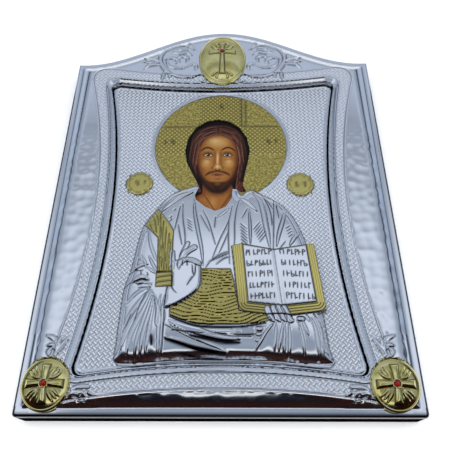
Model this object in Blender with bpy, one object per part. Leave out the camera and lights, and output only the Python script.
"""Icon panel: a wooden board with an arched top, under a stamped silver frame cover. In the cover's opening
lies a painted icon board under its own silver plate, which shows a half-length figure in relief and leaves
the painted head bare. Three gilt medallions, each with a red stone, sit on the frame cover.

The sizes are in millimetres and the model is in metres. The panel lies on its back: +X is to the right, +Y up
the icon and +Z out of its face. Heights on the icon are measured up from the panel's bottom edge.
"""

import math

import bmesh
import bpy
import numpy as np
from mathutils import Vector
from mathutils.geometry import delaunay_2d_cdt

MM = 0.001
FIT_GAP = 0.3
POINT_MERGE = 0.03
TIP_SHARE = 0.03
SHARP_ANGLE = 32.0
OVAL_SIDES = 28

# Whole panel: an arched board, with a rim that is rounded over at its edge
PANEL_W = 245.0
PANEL_H = 321.7
ARCH_RISE = 37.4
ARCH_SWEEP = 2.06
ARCH_TAIL = 0.47
FOOT_RADIUS = 2.5
SHOULDER_RADIUS = 1.2
BOARD_T = 13.7

# Frame cover: rim, hammered cove, woven band and lip
COVER_SKIRT = 1.8
RIM_ROUND = 2.0
RIM_HEIGHT = 3.5
RIM_WIDTH = 3.0
COVE_WIDTH = 10.0
COVE_RISE = 4.0
ROUND_RING = 0.3
COVE_RINGS = (0.3, 0.62)
PANEL_STEPS = {"along": 10, "up": 6, "turn": 3}
BAND_CROWN = 0.5
BAND_BEAD = 0.9
BEAD_RISE = 0.45
LIP_WIDTH = 3.3
LIP_DROP = 1.4
LIP_BEAD = 0.5

# Opening in the frame cover: a cushion with hollow sides, inside the frame's own width and crown
FRAME_SIDE = 43.7
CROWN_H = 68.8
OPEN_BOTTOM = 29.2
OPEN_HALF = PANEL_W / 2 - FRAME_SIDE
OPEN_TOP = PANEL_H - CROWN_H
OPEN_SIDE_BOW = 11.7
OPEN_END_BOW = 5.7
OPEN_CORNER = 9.0

# Woven band, outwards from the opening
BAND_SIDE = 11.7
BAND_SIDE_BOW = 14.6
BAND_FOOT = 14.7
BAND_FOOT_BOW = 5.0
BAND_HEAD = 13.6
BAND_HEAD_BOW = 6.4
BAND_CORNER = 20.0

# Icon board and its silver plate
PLATE_GAP = 1.2
PLATE_SKIRT = 1.0
PLATE_SKIRT_DROP = 3.0
SHEET_T = 0.5
ICON_BOARD_T = 3.2
PLATE_EDGE = 1.8
PLATE_BEAD = 1.8
PLATE_BEAD_RISE = 0.35

# Halo, with the head opening in front of it. The whole figure is drawn for an opening of this height and foot
DRAWN_H = 223.7
DRAWN_FOOT = 29.2
HALO_X = -0.7
HALO_Y = 196.5
HALO_R = 50.4
HALO_RISE = 0.6
HALO_SIDES = 40
STEP_RUN = 0.5
HEAD_X = -3.2
HEAD_Y = 191.5
HEAD_HALF = 24.7
HEAD_UP = 30.5
HEAD_TURN = 22.0
HEAD_POINTS = 13
NECK = [(-18.4, 163.6), (-16.4, 157.6), (-19.0, 150.0), (-18.2, 146.6), (-11.2, 140.2), (-3.9, 136.6),
        (3.4, 140.4), (7.6, 148.0), (8.2, 156.0), (11.0, 156.6), (14.6, 153.4), (18.0, 154.6), (15.8, 160.0),
        (16.6, 166.0)]

# Small gilt medallions of the plate
BADGE_R = 10.1
BADGE_NOTCH = 1.2
BADGE_POINT = 0.9
POINT_SHARPNESS = 8
BADGE_RISE = 0.8
BADGE_SIDES = 24
BADGES = [(-60.3, 161.9), (57.8, 160.6)]

# Figure: robe, with its hem rolled down to the ground
ROBE = [(-16.6, 159.4), (-22.4, 158.0), (-31.2, 155.2), (-38.9, 149.4), (-46.1, 139.6), (-53.7, 127.6),
        (-56.4, 117.0), (-58.4, 104.0), (-60.2, 92.0), (-63.4, 79.0), (-64.4, 61.0), (-64.7, 44.0),
        (-62.4, 29.6), (-30.0, 31.6), (0.0, 32.3), (34.0, 31.4), (67.4, 28.4), (67.6, 40.0), (66.4, 54.0),
        (65.4, 66.0), (63.0, 92.0), (58.4, 112.6), (53.4, 127.4), (47.2, 138.6), (39.6, 145.8), (31.0, 151.0),
        (25.4, 154.2), (20.4, 155.6), (14.0, 151.6), (8.8, 158.2)]
ROBE_RISE = 2.6
ROBE_EDGE = 2.4
ROBE_RINGS = (0.9, 2.6)
SPOT_PITCH = 9.0
TORSO_RISE = 2.0
TORSO_TOP = 158.0
TORSO_RUN = 46.0
TORSO_HALF = 84.0
LAP_RISE = 1.3
LAP_Y = 52.0
LAP_RUN = 20.0
HEM_Y = 31.2
HEM_ROLL = 15.0

# Hands and book
PALM = [(-33.0, 95.6), (-32.9, 84.0), (-35.6, 78.6), (-35.8, 65.4), (-31.0, 66.4), (-22.0, 70.6),
        (-15.2, 76.2), (-12.8, 82.4), (-13.2, 89.0), (-15.6, 95.4), (-23.0, 98.6)]
PALM_RISE = 1.5
PALM_RUN = 1.5
FINGER_RISE = 1.3
FINGERS = [([(-31.6, 94.0), (-32.4, 100.0), (-32.0, 105.8)], 1.9),
           ([(-26.4, 97.0), (-24.6, 106.0), (-21.8, 113.2)], 1.9),
           ([(-23.6, 102.6), (-20.0, 107.4), (-16.4, 109.9)], 1.8),
           ([(-29.6, 97.6), (-22.0, 99.8), (-13.4, 97.0)], 2.1)]
GRIP = [([(30.0, 65.2), (31.6, 60.4), (33.4, 56.6)], 1.8), ([(33.2, 66.0), (35.0, 60.6), (37.0, 56.0)], 1.8),
        ([(36.8, 66.2), (38.8, 60.8), (41.2, 56.0)], 1.8), ([(40.2, 66.0), (43.2, 61.0), (46.0, 57.0)], 1.9),
        ([(45.4, 58.8), (48.6, 58.3), (51.8, 58.6)], 1.4)]
BOOK = [(12.0, 62.8), (29.4, 60.4), (39.4, 60.8), (45.4, 59.8), (67.2, 63.2), (62.9, 109.6), (57.8, 109.2),
        (35.6, 105.8), (14.4, 110.0), (7.4, 108.4)]
PAGES = [(17.8, 68.4), (39.4, 66.0), (61.2, 68.4), (57.4, 108.4), (35.6, 105.0), (14.8, 109.0)]
BOOK_SPINE = [(35.7, 104.8), (39.2, 66.6)]
BOOK_LIFT = 6.3
PAGE_RISE = 0.5
SPINE_DROP = 0.7
SPINE_RUN = 4.0

# Drapery folds: the crest's points, half width and rise
SLEEVE_FOLDS = [
    ([(-41.5, 80.0), (-52.0, 72.0), (-59.0, 59.0), (-61.4, 41.0)], 2.4, 1.3),
    ([(-40.6, 78.6), (-47.4, 65.0), (-53.2, 50.0), (-56.0, 36.0)], 2.3, 1.4),
    ([(-39.4, 77.6), (-43.8, 63.0), (-48.0, 49.0), (-50.0, 35.4)], 2.1, 1.4),
    ([(-38.2, 76.6), (-40.4, 62.0), (-42.6, 48.0), (-43.8, 35.0)], 2.0, 1.4),
    ([(-36.6, 64.0), (-37.0, 55.0), (-37.2, 46.0), (-37.4, 35.0)], 1.9, 1.4),
    ([(-42.6, 86.0), (-49.6, 89.2), (-57.4, 92.4)], 2.2, 1.2),
    ([(-42.4, 81.8), (-51.4, 81.6), (-61.0, 79.4)], 2.2, 1.3),
    ([(-45.0, 94.6), (-51.0, 101.0), (-55.4, 112.0)], 1.9, 0.9),
]
LAP_FOLDS = [
    ([(-31.0, 57.6), (-16.0, 51.4), (4.0, 49.2), (27.0, 52.4)], 2.4, 1.2),
    ([(-32.4, 53.0), (-20.0, 45.8), (-2.0, 42.4), (20.0, 43.4)], 2.3, 1.2),
    ([(-32.6, 47.0), (-22.0, 41.0), (-10.0, 37.6), (4.0, 36.0)], 2.0, 1.1),
    ([(31.6, 55.2), (27.0, 47.6), (23.0, 40.0), (19.6, 33.4)], 1.4, 1.0),
]
DRAPE_FOLDS = [
    ([(34.4, 54.4), (33.6, 46.0), (32.6, 36.0)], 1.6, 1.1),
    ([(38.2, 54.2), (37.8, 46.0), (37.2, 35.6)], 1.6, 1.1),
    ([(42.4, 54.6), (42.4, 46.0), (42.0, 35.4)], 1.7, 1.1),
    ([(47.0, 55.6), (50.8, 50.0), (52.6, 35.0)], 1.9, 1.2),
    ([(52.6, 57.6), (58.4, 48.0), (60.4, 34.0)], 2.0, 1.2),
    ([(57.4, 58.4), (63.0, 50.0), (65.2, 34.0)], 1.7, 1.1),
]
CHEST_FOLDS = [
    ([(-19.6, 145.6), (-18.0, 131.0), (-14.6, 115.0), (-11.8, 101.0)], 1.6, 0.8),
    ([(-27.0, 147.0), (-28.4, 134.0), (-26.6, 121.0), (-25.0, 115.0)], 1.7, 0.8),
    ([(9.0, 147.0), (7.6, 132.0), (3.4, 116.0), (-2.4, 101.0)], 1.6, 0.8),
    ([(15.0, 148.0), (19.4, 138.0), (20.0, 124.0), (20.6, 112.0)], 1.7, 0.8),
    ([(22.0, 152.4), (28.6, 141.0), (30.4, 126.0), (31.0, 109.0)], 1.8, 0.9),
    ([(30.0, 149.6), (35.0, 139.0), (36.2, 124.0), (35.4, 108.4)], 1.7, 0.9),
    ([(44.6, 137.6), (41.4, 128.0), (39.0, 117.0), (37.8, 109.0)], 1.6, 0.8),
    ([(54.4, 119.0), (49.6, 114.6), (45.0, 110.6)], 1.6, 0.8),
]
CLAVUS_EDGES = [
    ([(-53.0, 126.4), (-48.6, 119.8), (-43.4, 114.0), (-42.2, 104.0), (-42.0, 91.6)], 1.0, 0.7),
    ([(-45.6, 138.6), (-39.0, 129.0), (-33.0, 119.6), (-32.8, 110.0)], 1.0, 0.7),
]
COLLAR_FOLDS = [
    ([(-19.4, 155.6), (-23.4, 149.0), (-14.4, 139.4), (-3.9, 132.6), (4.8, 137.4), (10.6, 147.6)], 1.6, 0.8),
    ([(-26.0, 156.2), (-36.0, 148.0), (-44.0, 137.0)], 1.5, 0.8),
]

# Medallions of the frame cover, with their red stones
CORNER_IN = 18.4
CORNER_X = PANEL_W / 2 - CORNER_IN
CORNER_Y = 18.1
CORNER_HALF_W = 14.7
CORNER_HALF_H = 15.8
CORNER_DOME = 3.2
CORNER_ARM = 11.4
CORNER_ARM_HALF = 1.5
CORNER_ARM_FLARE = 1.0
TOP_DOWN = 39.1
TOP_Y = PANEL_H - TOP_DOWN
SCROLLS_UP = 1.0
TOP_HALF_W = 19.7
TOP_HALF_H = 27.5
TOP_DOME = 3.2
TOP_STONE_UP = 6.0
TOP_ARM = 11.0
TOP_FOOT = 24.0
TOP_ARM_HALF = 1.7
TOP_ARM_FLARE = 0.7
MEDAL_EDGE = 1.2
EDGE_SHARE = 0.97
RIM_SHARE = 0.88
RIM_RUN = 0.05
DOME_SHARE = 0.58
CROSS_RISE = 0.5
CROSS_RUN = 0.4
CORNER_SEAT_STEP = 1.4
SEAT_SLOPE = 0.2
STONE_R = 1.75
STONE_TALL = 1.25
BEZEL_WALL = 0.7
BEZEL_RISE = 0.8
PIT_DEPTH = 0.5
BEZEL_SLOPE = 0.15
BEZEL_SIDES = 12

# Crown scrollwork on the left, which is mirrored: the points from just above the top medallion's
# middle, half width and rise
CROWN_SCROLLS = [
    ([(-18.0, -17.0), (-27.0, -20.4), (-38.0, -18.2), (-46.6, -12.0), (-51.8, -2.6), (-51.6, 7.4),
      (-45.4, 15.0), (-36.0, 17.6), (-27.0, 15.8), (-23.0, 11.0)], 1.9, 1.1),
    ([(-47.6, -0.2), (-44.4, -6.6), (-36.0, -9.2), (-28.6, -7.2)], 1.4, 0.9),
    ([(-29.0, -7.0), (-24.4, -4.4), (-21.6, -7.6), (-22.8, -11.2)], 1.5, 1.0),
    ([(-48.4, 0.8), (-42.0, 2.6), (-37.2, -0.4), (-38.8, -3.8)], 1.6, 1.0),
    ([(-40.4, -1.0), (-35.0, 4.4), (-29.6, 2.6), (-30.4, -1.6)], 1.6, 1.0),
    ([(-42.0, 9.8), (-36.0, 8.0), (-31.0, 9.2), (-26.0, 6.0)], 1.7, 0.9),
    ([(-38.0, 13.4), (-33.0, 12.0), (-27.6, 13.0)], 1.3, 0.8),
    ([(-33.6, 17.8), (-29.0, 20.0), (-28.2, 23.4)], 1.3, 0.8),
    ([(-52.4, -2.0), (-57.6, 0.8), (-62.0, 0.4), (-66.2, 3.8)], 1.9, 1.0),
    ([(-52.0, -5.0), (-57.4, -4.8), (-61.8, -6.0), (-65.0, -10.0)], 1.9, 1.0),
    ([(-56.6, -2.0), (-61.4, -2.4), (-66.4, -2.6)], 1.4, 0.9),
    ([(-47.8, -12.2), (-48.8, -17.0), (-49.4, -22.6)], 1.7, 1.0),
    ([(-46.2, -13.6), (-43.6, -17.2), (-43.0, -20.8)], 1.4, 0.9),
    ([(-16.4, -17.6), (-13.6, -21.2), (-15.0, -25.2), (-19.0, -24.2)], 1.1, 0.9),
]

# Acanthus sprigs beside the corner medallions, from their root upwards: each lobe's points and half width
SPRIG_RISE = 1.1
SPRIG_GAP = 0.4
SPRIG_SHIFT = 0.4
SPRIG_DROP = 5.0
SPRIG_LOBES = [
    ([(-0.2, 0.2), (-1.3, 5.6), (-2.6, 9.6), (-5.4, 13.8)], 1.7),
    ([(-1.0, 0.6), (-2.6, 4.0), (-4.0, 5.4), (-4.6, 3.4)], 1.2),
    ([(0.5, 2.4), (1.6, 6.6), (2.2, 9.8), (2.0, 13.2)], 1.3),
    ([(1.2, 0.4), (3.8, 4.4), (5.4, 8.8), (8.2, 12.8)], 1.6),
    ([(4.4, 4.4), (6.2, 6.0), (8.6, 6.6)], 1.1),
]

SILVER = ((0.62, 0.66, 0.72), 0.22, 1.0)
GILT = ((0.56, 0.47, 0.20), 0.25, 1.0)
DARK_WOOD = ((0.030, 0.020, 0.016), 0.45, 0.0)
PAINTED = ((0.16, 0.07, 0.03), 0.40, 0.0)
RED_STONE = ((0.42, 0.012, 0.010), 0.10, 0.0)

COVER_Z = BOARD_T + FIT_GAP
ICON_BOARD_TOP = COVER_Z + ICON_BOARD_T
GROUND_Z = ICON_BOARD_TOP + FIT_GAP + SHEET_T
RIM_Z = COVER_Z + RIM_HEIGHT
BAND_Z = RIM_Z + COVE_RISE
CORNER_SEAT_Z = RIM_Z + CORNER_SEAT_STEP
HALF_OPEN_H = (OPEN_TOP - OPEN_BOTTOM) / 2
WAIST_Y = (OPEN_TOP + OPEN_BOTTOM) / 2
FIGURE_SHARE = 2 * HALF_OPEN_H / DRAWN_H


def corner_depth(across, along, radius):
    rounded = radius - np.hypot(radius - across, radius - along)
    return np.where((across < radius) & (along < radius), rounded, np.minimum(across, along))


class Outline:
    """A closed outline, alike left and right, from its side, bottom and top edges and two corner radii."""

    def __init__(self, side, bottom, top, low_radius, high_radius):
        self.side = side
        self.bottom = bottom
        self.top = top
        self.low_radius = low_radius
        self.high_radius = high_radius

    def lean(self, x):
        """How much longer a step up is than the same step square to the top edge."""
        return np.hypot(1.0, self.top(x + 0.5) - self.top(x - 0.5))

    def inside(self, x, y):
        """The distance in from the outline, below zero outside it."""
        across = self.side(y) - np.abs(x)
        low = corner_depth(across, y - self.bottom(x), self.low_radius)
        high = corner_depth(across, (self.top(x) - y) / self.lean(x), self.high_radius)
        return np.minimum(low, high)

    def grown(self, by):
        return Outline(
            lambda y: self.side(y) + by,
            lambda x: self.bottom(x) - by,
            lambda x: self.top(x) + by * self.lean(x),
            max(self.low_radius + by, POINT_MERGE),
            max(self.high_radius + by, POINT_MERGE),
        )

    def corner(self, low, angle):
        """A point of the right-hand corner: angle 0 is where it meets the side."""
        radius = self.low_radius if low else self.high_radius
        drop = radius * (1 - math.sin(angle))
        y = WAIST_Y
        for _ in range(30):
            x = self.side(y) - radius * (1 - math.cos(angle))
            y = self.bottom(x) + drop if low else self.top(x) - drop * self.lean(x)
        return float(x), float(y)

    def loop(self, along=8, up=11, turn=4):
        """The outline's points, anticlockwise from the middle of its bottom edge."""
        low = [self.corner(True, math.radians(90 * (1 - k / turn))) for k in range(turn + 1)]
        high = [self.corner(False, math.radians(90 * k / turn)) for k in range(turn + 1)]
        right = [(low[0][0] * k / along, float(self.bottom(low[0][0] * k / along))) for k in range(along)]
        right += low
        for k in range(1, up):
            y = low[-1][1] + (high[0][1] - low[-1][1]) * k / up
            right.append((float(self.side(y)), y))
        right += high
        for k in range(along - 1, -1, -1):
            x = high[-1][0] * k / along
            right.append((x, float(self.top(x))))
        left = [(-x, y) for x, y in reversed(right[1:-1])]
        return right + left


def arch(x):
    share = np.abs(x) / (PANEL_W / 2)
    fall = (1 + ARCH_SWEEP - ARCH_TAIL) * share**2 - ARCH_SWEEP * share**4 + ARCH_TAIL * share**6
    return PANEL_H - ARCH_RISE * fall


def cushion(half, side_bow, bottom, bottom_bow, top, top_bow, radius):
    """An outline whose four sides bow inwards: each bow is measured where the opening's corners are."""
    return Outline(
        lambda y: half + side_bow * ((y - WAIST_Y) / HALF_OPEN_H) ** 2,
        lambda x: bottom - bottom_bow * (x / OPEN_HALF) ** 2,
        lambda x: top + top_bow * (x / OPEN_HALF) ** 2,
        radius,
        radius,
    )


PANEL = Outline(lambda y: PANEL_W / 2 + 0 * y, lambda x: 0 * x, arch, FOOT_RADIUS, SHOULDER_RADIUS)
OPENING = cushion(OPEN_HALF, OPEN_SIDE_BOW, OPEN_BOTTOM, OPEN_END_BOW, OPEN_TOP, OPEN_END_BOW, OPEN_CORNER)
BAND = cushion(
    OPEN_HALF + BAND_SIDE,
    BAND_SIDE_BOW,
    OPEN_BOTTOM - BAND_FOOT,
    BAND_FOOT_BOW,
    OPEN_TOP + BAND_HEAD,
    BAND_HEAD_BOW,
    BAND_CORNER,
)
PLATE = OPENING.grown(-PLATE_GAP)
ICON_BOARD = PLATE.grown(-PLATE_SKIRT - FIT_GAP)


def smooth_line(points, spans):
    """Points along a smooth curve through these ones, with this many steps between each two."""
    ends = [2 * np.array(points[0]) - points[1], *map(np.array, points), 2 * np.array(points[-1]) - points[-2]]
    line = []
    for before, start, end, after in zip(ends, ends[1:], ends[2:], ends[3:]):
        for k in range(spans):
            t = k / spans
            bend = (end - before) * t + (2 * before - 5 * start + 4 * end - after) * t * t
            bend = bend + (3 * start - before - 3 * end + after) * t**3
            line.append(start + bend / 2)
    return np.array([*line, points[-1]], float)


def smooth_loop(points, spans):
    line = smooth_line([points[-1], *points, points[0], points[1]], spans)
    return [tuple(p) for p in line[spans : -2 * spans]]


def within(loop, x, y):
    """Whether each point lies in the closed loop."""
    found = np.zeros(np.shape(x), bool)
    for (ax, ay), (bx, by) in zip(loop, [*loop[1:], loop[0]]):
        crosses = (ay > y) != (by > y)
        found ^= crosses & (x < ax + (bx - ax) * (y - ay) / ((by - ay) or POINT_MERGE))
    return found


def line_distance(line, x, y):
    """Each point's distance to the line, and how far along it the nearest place is, from 0 to 1."""
    nearest = np.full(np.shape(x), np.inf)
    place = np.zeros(np.shape(x))
    for k, (start, end) in enumerate(zip(line, line[1:])):
        run = np.subtract(end, start)
        t = np.clip(((x - start[0]) * run[0] + (y - start[1]) * run[1]) / (run @ run), 0, 1)
        far = np.hypot(x - start[0] - t * run[0], y - start[1] - t * run[1])
        place = np.where(far < nearest, (k + t) / (len(line) - 1), place)
        nearest = np.minimum(far, nearest)
    return nearest, place


def loop_depth(loop, x, y):
    """The distance in from a closed loop, below zero outside it."""
    far = line_distance([*loop, loop[0]], x, y)[0]
    return np.where(within(loop, x, y), far, -far)


def shrunk(loop, by):
    """The loop moved in by this distance."""
    inner = []
    for before, here, after in zip([loop[-1], *loop[:-1]], loop, [*loop[1:], loop[0]]):
        run = np.subtract(after, before)
        side = np.array([-run[1], run[0]]) / np.hypot(*run)
        inner.append(tuple(np.array(here) + side * by))
    return inner


def spread(loop, pitch):
    """Points inside the loop in staggered rows."""
    low_x, low_y = np.min(loop, axis=0)
    high_x, high_y = np.max(loop, axis=0)
    found = []
    for row in range(int((high_y - low_y) / pitch) + 1):
        for column in range(int((high_x - low_x) / pitch) + 1):
            point = (low_x + pitch * (column + row % 2 / 2), low_y + pitch * row)
            if within(loop, *point):
                found.append(point)
    return found


class Ridge:
    """A tapered raised line, such as a fold, a stem or a leaf's lobe."""

    def __init__(self, points, half, rise, spans=2):
        self.crest = smooth_line(points, spans)
        self.half = half
        self.rise = rise

    def width(self, place):
        return self.half * np.clip(np.sin(np.pi * np.clip(place, TIP_SHARE, 1 - TIP_SHARE)), 0, 1) ** 0.5

    def height(self, x, y):
        far, place = line_distance(self.crest, x, y)
        return self.rise * np.clip(1 - (far / self.width(place)) ** 2, 0, None)

    def outline(self):
        run = np.gradient(self.crest, axis=0)
        side = np.stack([-run[:, 1], run[:, 0]], 1) / np.hypot(run[:, 0], run[:, 1])[:, None]
        reach = side * self.width(np.linspace(0, 1, len(self.crest)))[:, None]
        inner = slice(1, -1)
        right = (self.crest - reach)[inner]
        left = (self.crest + reach)[inner][::-1]
        return [tuple(p) for p in [self.crest[0], *right, self.crest[-1], *left]]


def mirrored(points):
    return [(-x, y) for x, y in points]


def ring(x, y, half_w, half_h, count):
    """The points of an oval, or of a circle where both halves are alike."""
    turns = [2 * math.pi * k / count for k in range(count)]
    return [(x + half_w * math.cos(a), y + half_h * math.sin(a)) for a in turns]


def ease(share):
    share = np.clip(share, 0, 1)
    return share * share * (3 - 2 * share)


def new_object(name, mesh, material, group):
    obj = bpy.data.objects.new(name, mesh)
    group.objects.link(obj)
    if material:
        mesh.materials.append(material)
    mesh.shade_smooth()
    mesh.set_sharp_from_angle(angle=math.radians(SHARP_ANGLE))
    return obj


def new_material(name, look):
    colour, roughness, metallic = look
    material = bpy.data.materials.new(name)
    material.use_nodes = True
    shader = material.node_tree.nodes["Principled BSDF"]
    shader.inputs["Base Color"].default_value = (*colour, 1.0)
    shader.inputs["Roughness"].default_value = roughness
    shader.inputs["Metallic"].default_value = metallic
    return material


def placed(x, y, z):
    """A place on the icon as a point of the model, whose origin is under the middle of the panel."""
    return Vector((x, y - PANEL_H / 2, z)) * MM


def relief(name, outer, holes, loops, lines, spots, height, base, material, group):
    """A solid with a flat underside and a raised face: every loop and line becomes edges of the face."""
    points = []
    edges = []
    for loop in [outer, *holes, *loops]:
        first = len(points)
        points += loop
        edges += [(first + k, first + (k + 1) % len(loop)) for k in range(len(loop))]
    for line in lines:
        first = len(points)
        points += [tuple(p) for p in line]
        edges += [(first + k, first + k + 1) for k in range(len(line) - 1)]
    points += spots
    flat, _, triangles, *_ = delaunay_2d_cdt([Vector(p) for p in points], edges, [], 0, POINT_MERGE)
    x, y = np.array(flat).T
    corners = np.array([list(t) for t in triangles])
    middle_x = x[corners].mean(1)
    middle_y = y[corners].mean(1)
    kept = within(outer, middle_x, middle_y)
    for hole in holes:
        kept &= ~within(hole, middle_x, middle_y)
    bm = bmesh.new()
    verts = [bm.verts.new(placed(*p)) for p in zip(x, y, height(x, y))]
    for triangle in corners[kept]:
        bm.faces.new([verts[k] for k in triangle])
    bmesh.ops.delete(bm, geom=[v for v in bm.verts if not v.link_faces], context="VERTS")
    rim = [e for e in bm.edges if e.is_boundary]
    walls = bmesh.ops.extrude_edge_only(bm, edges=rim)["geom"]
    for vert in [v for v in walls if isinstance(v, bmesh.types.BMVert)]:
        vert.co.z = base * MM
    foot = [e for e in walls if isinstance(e, bmesh.types.BMEdge) and e.is_boundary]
    bmesh.ops.triangle_fill(bm, edges=foot, use_beauty=True, normal=(0, 0, -1))
    bmesh.ops.recalc_face_normals(bm, faces=bm.faces)
    mesh = bpy.data.meshes.new(name)
    bm.to_mesh(mesh)
    bm.free()
    return new_object(name, mesh, material, group)


def slab(name, loop, low, high, material, group):
    """A flat outline of one thickness."""
    curve = bpy.data.curves.new(name, "CURVE")
    curve.dimensions = "2D"
    curve.fill_mode = "BOTH"
    curve.extrude = (high - low) / 2 * MM
    spline = curve.splines.new("POLY")
    spline.points.add(len(loop) - 1)
    for point, (x, y) in zip(spline.points, loop):
        point.co = (*placed(x, y, 0), 1)
    spline.use_cyclic_u = True
    outline = bpy.data.objects.new(name + "_outline", curve)
    group.objects.link(outline)
    outline.location.z = (high + low) / 2 * MM
    bpy.context.view_layer.update()
    graph = bpy.context.evaluated_depsgraph_get()
    mesh = bpy.data.meshes.new_from_object(outline.evaluated_get(graph))
    bm = bmesh.new()
    bm.from_mesh(mesh)
    bmesh.ops.remove_doubles(bm, verts=bm.verts, dist=POINT_MERGE * MM / 10)
    bmesh.ops.recalc_face_normals(bm, faces=bm.faces)
    bm.to_mesh(mesh)
    bm.free()
    obj = new_object(name, mesh, material, group)
    obj.matrix_world = outline.matrix_world
    bpy.data.objects.remove(outline)
    return obj


def sprig(x, y, turned, flip):
    """Five acanthus lobes that fan out from one root, upwards or turned a quarter to the middle."""
    lobes = []
    for points, half in SPRIG_LOBES:
        if turned:
            points = [(up, -out) for out, up in points]
        lobes.append(Ridge([(x + flip * out, y + up) for out, up in points], half, SPRIG_RISE, 1))
    return lobes


def frame_ridges():
    ridges = []
    for drawn, half, rise in CROWN_SCROLLS:
        points = [(x, TOP_Y + SCROLLS_UP + up) for x, up in drawn]
        ridges.append(Ridge(points, half, rise, 2))
        ridges.append(Ridge(mirrored(points), half, rise, 2))
    above = CORNER_Y + CORNER_HALF_H + SPRIG_GAP
    beside = CORNER_X - CORNER_HALF_W - SPRIG_GAP
    for side in (-1, 1):
        ridges += sprig(side * (CORNER_X - SPRIG_SHIFT), above, False, -side)
        ridges += sprig(side * beside, CORNER_Y - SPRIG_DROP, True, -side)
    return ridges


SEATS = [
    (-CORNER_X, CORNER_Y, CORNER_HALF_W, CORNER_HALF_H, CORNER_SEAT_Z),
    (CORNER_X, CORNER_Y, CORNER_HALF_W, CORNER_HALF_H, CORNER_SEAT_Z),
    (0.0, TOP_Y, TOP_HALF_W, TOP_HALF_H, BAND_Z),
]


def cover_height(ridges):
    def height(x, y):
        edge = PANEL.inside(x, y)
        over = np.clip(edge / RIM_ROUND, 0, 1)
        z = COVER_Z + COVER_SKIRT + (RIM_HEIGHT - COVER_SKIRT) * np.sqrt(1 - (1 - over) ** 2)
        cove = np.clip((edge - RIM_ROUND - RIM_WIDTH) / COVE_WIDTH, 0, 1)
        z = z + COVE_RISE * np.sin(math.pi / 2 * cove)
        band = BAND.inside(x, y)
        lip = -OPENING.inside(x, y)
        z = z + BAND_CROWN * ease(band / BAND_BEAD)
        for far in (np.abs(band - BAND_BEAD / 2), np.abs(lip - LIP_WIDTH - BAND_BEAD / 2)):
            z = z + BEAD_RISE * np.clip(1 - (2 * far / BAND_BEAD) ** 2, 0, 1)
        z = z - LIP_DROP * (1 - ease((lip - BAND_BEAD) / (LIP_WIDTH - BAND_BEAD)))
        z = z + LIP_BEAD * np.clip(1 - (2 * (lip - BAND_BEAD / 2) / BAND_BEAD) ** 2, 0, 1)
        z = z + np.max([r.height(x, y) for r in ridges], axis=0)
        for seat_x, seat_y, half_w, half_h, seat_z in SEATS:
            share = np.hypot((x - seat_x) / (half_w + FIT_GAP), (y - seat_y) / (half_h + FIT_GAP))
            z = np.where(share < 1, seat_z, z)
        return z

    return height


def make_frame_cover(material, group):
    """The stamped cover: rounded rim, cove, woven band between two beads, and a lip around the opening."""
    ridges = frame_ridges()
    cove = RIM_ROUND + RIM_WIDTH
    insets = [RIM_ROUND * ROUND_RING, RIM_ROUND, cove, *[cove + COVE_WIDTH * share for share in COVE_RINGS]]
    loops = [PANEL.grown(-inset).loop(**PANEL_STEPS) for inset in insets]
    loops += [BAND.grown(-inset).loop() for inset in (0, BAND_BEAD / 2, BAND_BEAD)]
    outsets = (BAND_BEAD / 2, BAND_BEAD, LIP_WIDTH, LIP_WIDTH + BAND_BEAD / 2, LIP_WIDTH + BAND_BEAD)
    loops += [OPENING.grown(outset).loop() for outset in outsets]
    loops += [r.outline() for r in ridges]
    for x, y, half_w, half_h, _ in SEATS:
        for gap in (FIT_GAP - POINT_MERGE, FIT_GAP + SEAT_SLOPE):
            loops.append(ring(x, y, half_w + gap, half_h + gap, OVAL_SIDES))
    return relief(
        "frame_cover",
        PANEL.loop(**PANEL_STEPS),
        [OPENING.loop()],
        loops,
        [r.crest for r in ridges],
        [],
        cover_height(ridges),
        COVER_Z,
        material,
        group,
    )


def drawn(points):
    """Points of the figure's drawing at the size and place of the opening."""
    return [(x * FIGURE_SHARE, OPEN_BOTTOM + (y - DRAWN_FOOT) * FIGURE_SHARE) for x, y in points]


def head_opening():
    """The edge of the painted head: the crown of the hair, then the neck and one lock on the shoulder."""
    turns = np.radians(np.linspace(-HEAD_TURN, 180 + HEAD_TURN, HEAD_POINTS))
    crown = [(HEAD_X + HEAD_HALF * math.cos(a), HEAD_Y + HEAD_UP * math.sin(a)) for a in turns]
    return drawn([*crown, *NECK])


def badge(x, y, inset=0.0):
    """A small medallion of the plate: four round lobes with a short point between each two."""
    points = []
    for k in range(BADGE_SIDES):
        angle = 2 * math.pi * k / BADGE_SIDES
        between = max(0.0, -math.cos(4 * angle))
        point = (BADGE_NOTCH + BADGE_POINT) * between**POINT_SHARPNESS
        reach = BADGE_R - inset - BADGE_NOTCH * between + point
        points.append((x + reach * math.cos(angle), y + reach * math.sin(angle)))
    return drawn(points)


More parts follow.
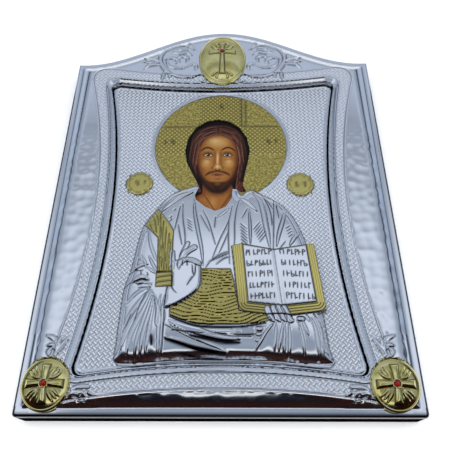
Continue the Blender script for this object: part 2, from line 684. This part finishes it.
def figure_height(folds, fingers):
    robe = smooth_loop(drawn(ROBE), 2)
    palm = smooth_loop(drawn(PALM), 2)
    pages = drawn(PAGES)
    book = drawn(BOOK)
    (_, lap_y), (_, hem_y), (_, torso_top) = drawn([(0, LAP_Y), (0, HEM_Y), (0, TORSO_TOP)])

    def height(x, y):
        inset = loop_depth(robe, x, y)
        body = ROBE_RISE * (1 - np.exp(-np.clip(inset, 0, None) / ROBE_EDGE))
        torso = TORSO_RISE * ease((torso_top - y) / TORSO_RUN) * (1 - (x / TORSO_HALF) ** 2)
        lap = LAP_RISE * np.exp(-(((y - lap_y) / LAP_RUN) ** 2))
        within_robe = ease(inset / (2 * ROBE_EDGE))
        body = body + (torso + lap) * within_robe
        body = body + np.max([f.height(x, y) for f in folds], axis=0) * within_robe
        roll = np.clip((y - hem_y) / HEM_ROLL, 0, 1)
        body = np.where(inset > 0, body * np.sqrt(1 - (1 - roll) ** 2), 0)
        body = body + PALM_RISE * ease(loop_depth(palm, x, y) / PALM_RUN)
        leaf = loop_depth(pages, x, y)
        spine = line_distance(drawn(BOOK_SPINE), x, y)[0]
        raised = BOOK_LIFT * ease(1 + loop_depth(book, x, y) / STEP_RUN) + PAGE_RISE * ease(leaf / STEP_RUN)
        raised = raised - SPINE_DROP * np.clip(1 - spine / SPINE_RUN, 0, 1) * (leaf > 0)
        return np.maximum(body, raised) + np.max([f.height(x, y) for f in fingers], axis=0)

    return height


def halo_ring(inset=0.0):
    return drawn(ring(HALO_X, HALO_Y, HALO_R - inset, HALO_R - inset, HALO_SIDES))


def plate_height(figure):
    halo_loop = halo_ring()

    def height(x, y):
        edge = PLATE.inside(x, y)
        over = np.clip(edge / PLATE_EDGE, 0, 1)
        z = GROUND_Z - SHEET_T + SHEET_T * np.sqrt(1 - (1 - over) ** 2)
        z = z + PLATE_BEAD_RISE * np.clip(1 - (2 * (edge - PLATE_EDGE) / PLATE_BEAD) ** 2, 0, 1)
        halo = HALO_RISE * ease(loop_depth(halo_loop, x, y) / STEP_RUN)
        raised = np.maximum(figure(x, y), halo)
        for place in BADGES:
            raised = np.maximum(raised, BADGE_RISE * ease(loop_depth(badge(*place), x, y) / STEP_RUN))
        return z + raised

    return height


def make_icon_plate(material, group):
    """The icon's silver plate: a rolled edge, a raised halo and a half-length figure with an open book."""
    drapery = [*SLEEVE_FOLDS, *LAP_FOLDS, *DRAPE_FOLDS, *CHEST_FOLDS, *CLAVUS_EDGES, *COLLAR_FOLDS]
    folds = [Ridge(drawn(line), half, rise, 1 if len(line) > 3 else 2) for line, half, rise in drapery]
    fingers = [Ridge(drawn(line), half, FINGER_RISE) for line, half in [*FINGERS, *GRIP]]
    robe = smooth_loop(drawn(ROBE), 2)
    palm = smooth_loop(drawn(PALM), 2)
    book = drawn(BOOK)
    pages = drawn(PAGES)
    insets = (PLATE_EDGE * ROUND_RING, PLATE_EDGE, PLATE_EDGE + PLATE_BEAD / 2)
    loops = [PLATE.grown(-inset).loop() for inset in insets]
    loops += [robe, *[shrunk(robe, inset) for inset in ROBE_RINGS], palm, shrunk(palm, PALM_RUN)]
    loops += [halo_ring(), halo_ring(STEP_RUN)]
    for x, y in BADGES:
        loops += [badge(x, y), badge(x, y, STEP_RUN)]
    loops += [book, shrunk(book, -STEP_RUN), pages, shrunk(pages, STEP_RUN)]
    loops += [r.outline() for r in [*folds, *fingers]]
    lines = [r.crest for r in [*folds, *fingers]] + [drawn(BOOK_SPINE)]
    spots = spread(shrunk(robe, 2 * ROBE_EDGE), SPOT_PITCH)
    return relief(
        "icon_plate",
        PLATE.loop(),
        [head_opening()],
        loops,
        lines,
        spots,
        plate_height(figure_height(folds, fingers)),
        GROUND_Z - SHEET_T - PLATE_SKIRT_DROP,
        material,
        group,
    )


def cut(body, cutter):
    cutter.hide_render = True
    cutter.display_type = "WIRE"
    step = body.modifiers.new(cutter.name, "BOOLEAN")
    step.operation = "DIFFERENCE"
    step.solver = "EXACT"
    step.object = cutter


def cross(x, y, arm, foot, half, flare):
    """A cross with flared arms: its top and side arms are alike and its foot may be longer."""
    corner = half + flare
    return [
        (x + half, y + half), (x + corner, y + arm), (x - corner, y + arm), (x - half, y + half),
        (x - arm, y + corner), (x - arm, y - corner), (x - half, y - half), (x - corner, y - foot),
        (x + corner, y - foot), (x + half, y - half), (x + arm, y - corner), (x + arm, y + corner),
    ]  # fmt: skip


def make_medallion(name, x, y, oval, base, stone_up, arms, material, group):
    """A domed gilt medallion with a raised rim, a cross and a bezel for its stone."""
    half_w, half_h, dome = oval
    stone_y = y + stone_up
    sign = cross(x, stone_y, *arms)
    pit = STONE_R + FIT_GAP
    top = base + MEDAL_EDGE + dome * math.sqrt(1 - (stone_up / half_h) ** 2)

    def height(px, py):
        share = np.hypot((px - x) / half_w, (py - y) / half_h)
        z = base + MEDAL_EDGE + dome * np.sqrt(np.clip(1 - share**2, 0, 1))
        z = z + CROSS_RISE * ease(loop_depth(sign, px, py) / CROSS_RUN)
        z = z + CROSS_RISE * np.clip(1 - np.abs(share - RIM_SHARE) / RIM_RUN, 0, 1)
        reach = np.hypot(px - x, py - stone_y)
        z = np.where(reach < pit + BEZEL_WALL + POINT_MERGE, top + CROSS_RISE + BEZEL_RISE, z)
        return np.where(reach < pit - POINT_MERGE, top - PIT_DEPTH, z)

    shares = (EDGE_SHARE, RIM_SHARE + RIM_RUN, RIM_SHARE, RIM_SHARE - RIM_RUN)
    loops = [ring(x, y, half_w * share, half_h * share, OVAL_SIDES) for share in shares]
    loops.append(ring(x, y, half_w * DOME_SHARE, half_h * DOME_SHARE, OVAL_SIDES // 2))
    loops += [sign, shrunk(sign, CROSS_RUN)]
    for reach in (pit - BEZEL_SLOPE, pit, pit + BEZEL_WALL, pit + BEZEL_WALL + BEZEL_SLOPE):
        loops.append(ring(x, stone_y, reach, reach, BEZEL_SIDES))
    outer = ring(x, y, half_w, half_h, OVAL_SIDES)
    return relief(name, outer, [], loops, [], [(x, stone_y)], height, base, material, group)


def make_stone(name, x, y, seat, material, group):
    """A cabochon: a low ball with its widest line at the bezel."""
    bm = bmesh.new()
    bmesh.ops.create_uvsphere(bm, u_segments=10, v_segments=6, radius=STONE_R * MM)
    for vert in bm.verts:
        vert.co.z *= STONE_TALL / STONE_R
    mesh = bpy.data.meshes.new(name)
    bm.to_mesh(mesh)
    bm.free()
    stone = new_object(name, mesh, material, group)
    stone.location = placed(x, y, seat + FIT_GAP + STONE_TALL)
    return stone


def main():
    for obj in list(bpy.data.objects):
        bpy.data.objects.remove(obj)
    panel = bpy.data.collections.new("icon_panel")
    cutters = bpy.data.collections.new("cutters")
    for group in (panel, cutters):
        bpy.context.scene.collection.children.link(group)
    silver = new_material("silver_sheet", SILVER)
    gilt = new_material("gilt_metal", GILT)
    wood = new_material("dark_wood", DARK_WOOD)
    painted = new_material("painted_board", PAINTED)
    red = new_material("red_stone", RED_STONE)
    slab("back_board", PANEL.loop(**PANEL_STEPS), 0, BOARD_T, wood, panel)
    slab("icon_board", ICON_BOARD.loop(), COVER_Z, ICON_BOARD_TOP, painted, panel)
    make_frame_cover(silver, panel)
    plate = make_icon_plate(silver, panel)
    pocket_loop = ICON_BOARD.grown(FIT_GAP).loop()
    cut(plate, slab("board_pocket", pocket_loop, 0, ICON_BOARD_TOP + FIT_GAP, None, cutters))
    arms = (CORNER_ARM, CORNER_ARM, CORNER_ARM_HALF, CORNER_ARM_FLARE)
    base = CORNER_SEAT_Z + FIT_GAP
    for name, side in (("left", -1), ("right", 1)):
        x = side * CORNER_X
        oval = (CORNER_HALF_W, CORNER_HALF_H, CORNER_DOME)
        make_medallion(name + "_medallion", x, CORNER_Y, oval, base, 0.0, arms, gilt, panel)
        make_stone(name + "_stone", x, CORNER_Y, base + MEDAL_EDGE + CORNER_DOME - PIT_DEPTH, red, panel)
    arms = (TOP_ARM, TOP_FOOT, TOP_ARM_HALF, TOP_ARM_FLARE)
    base = BAND_Z + FIT_GAP
    oval = (TOP_HALF_W, TOP_HALF_H, TOP_DOME)
    make_medallion("top_medallion", 0.0, TOP_Y, oval, base, TOP_STONE_UP, arms, gilt, panel)
    seat = base + MEDAL_EDGE + TOP_DOME * math.sqrt(1 - (TOP_STONE_UP / TOP_HALF_H) ** 2) - PIT_DEPTH
    make_stone("top_stone", 0.0, TOP_Y + TOP_STONE_UP, seat, red, panel)


main()
